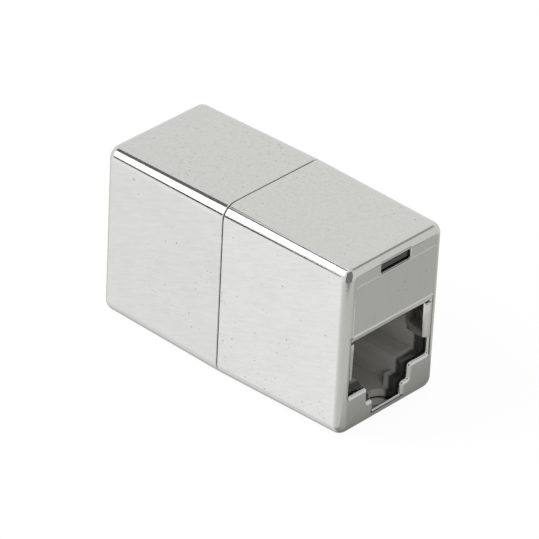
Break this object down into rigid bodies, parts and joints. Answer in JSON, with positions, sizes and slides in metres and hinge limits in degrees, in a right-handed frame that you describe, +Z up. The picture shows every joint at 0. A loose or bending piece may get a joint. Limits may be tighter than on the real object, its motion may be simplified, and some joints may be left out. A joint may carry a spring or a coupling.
{
  "type": "rj45 inline coupler",
  "caption": "Shielded inline coupler that joins two network patch leads: drawn metal half shells over a body with a modular socket at each end.",
  "frame": {"origin": "middle of the underside, below the seam between the two half shells", "axes": "+X along the coupler out of its front socket, +Y across it, +Z up from the latch side to the catch slot side"},
  "size_m": [0.0362, 0.0162, 0.0219],
  "materials": {
    "nickel_plate": "satin nickel plate with faint rubbing marks",
    "body_plastic": "moulded, fine satin",
    "module_plastic": "moulded, matt",
    "gold_contact": "gold plated spring wire",
    "board_laminate": "solder-masked laminate"
  },
  "bodies": {
    "root": {"socket_body": "body_plastic", "circuit_board": "board_laminate", "front_shell": "nickel_plate", "rear_shell": "nickel_plate", "front_contact_module": "module_plastic", "rear_contact_module": "module_plastic", "front_contact_1": "gold_contact", "front_contact_2": "gold_contact", "front_contact_3": "gold_contact", "front_contact_4": "gold_contact", "front_contact_5": "gold_contact", "front_contact_6": "gold_contact", "front_contact_7": "gold_contact", "front_contact_8": "gold_contact", "rear_contact_1": "gold_contact", "rear_contact_2": "gold_contact", "rear_contact_3": "gold_contact", "rear_contact_4": "gold_contact", "rear_contact_5": "gold_contact", "rear_contact_6": "gold_contact", "rear_contact_7": "gold_contact", "rear_contact_8": "gold_contact"}
  },
  "joints": []
}
